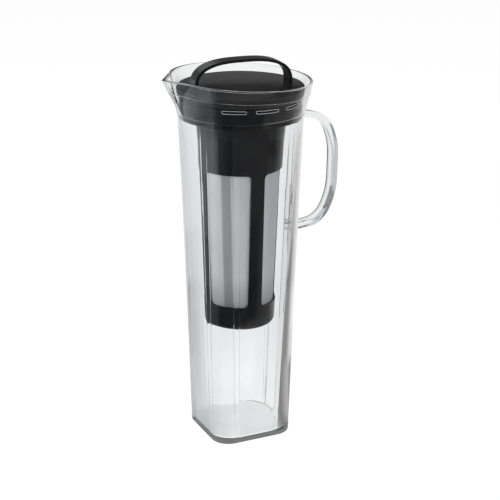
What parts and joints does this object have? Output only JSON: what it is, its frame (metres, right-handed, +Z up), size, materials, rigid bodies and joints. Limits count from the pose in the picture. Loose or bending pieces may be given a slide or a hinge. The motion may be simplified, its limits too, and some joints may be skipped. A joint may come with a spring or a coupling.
{
  "type": "cold brew coffee maker",
  "caption": "Tall clear carafe with side handle and pouring lip, holding a windowed mesh filter basket under a slotted pour ring and an arch-handled lid.",
  "frame": {"origin": "centre of the carafe's flat underside", "axes": "+Z up, +X towards the carafe's handle, -X towards its pouring spout"},
  "size_m": [0.1483, 0.1098, 0.3042],
  "materials": {
    "clear_plastic": "clear, polished",
    "gloss_black_plastic": "gloss",
    "matte_black_plastic": "fine matte",
    "filter_mesh_fabric": "fine woven mesh",
    "seal_rubber": "soft matte"
  },
  "bodies": {
    "carafe": {"carafe_body": "clear_plastic", "carafe_handle": "clear_plastic"},
    "filter": {"filter_frame": "gloss_black_plastic", "filter_mesh_1": "filter_mesh_fabric", "filter_mesh_2": "filter_mesh_fabric", "filter_mesh_3": "filter_mesh_fabric", "filter_mesh_4": "filter_mesh_fabric", "neck_seal": "seal_rubber"},
    "pour_ring": {"pour_ring": "gloss_black_plastic"},
    "lid": {"lid_cap": "matte_black_plastic", "lid_handle": "matte_black_plastic"}
  },
  "joints": [
    {"name": "filter_lift", "type": "slide", "parent": "carafe", "child": "filter", "axis": [0, 0, 1], "range_m": [0, 0.205]},
    {"name": "lid_turn", "type": "hinge", "parent": "filter", "child": "pour_ring", "pos_m": [0, 0, 0.2692], "axis": [0, 0, 1], "continuous": true},
    {"name": "lid_lift", "type": "slide", "parent": "pour_ring", "child": "lid", "axis": [0, 0, 1], "range_m": [0, 0.03]}
  ]
}
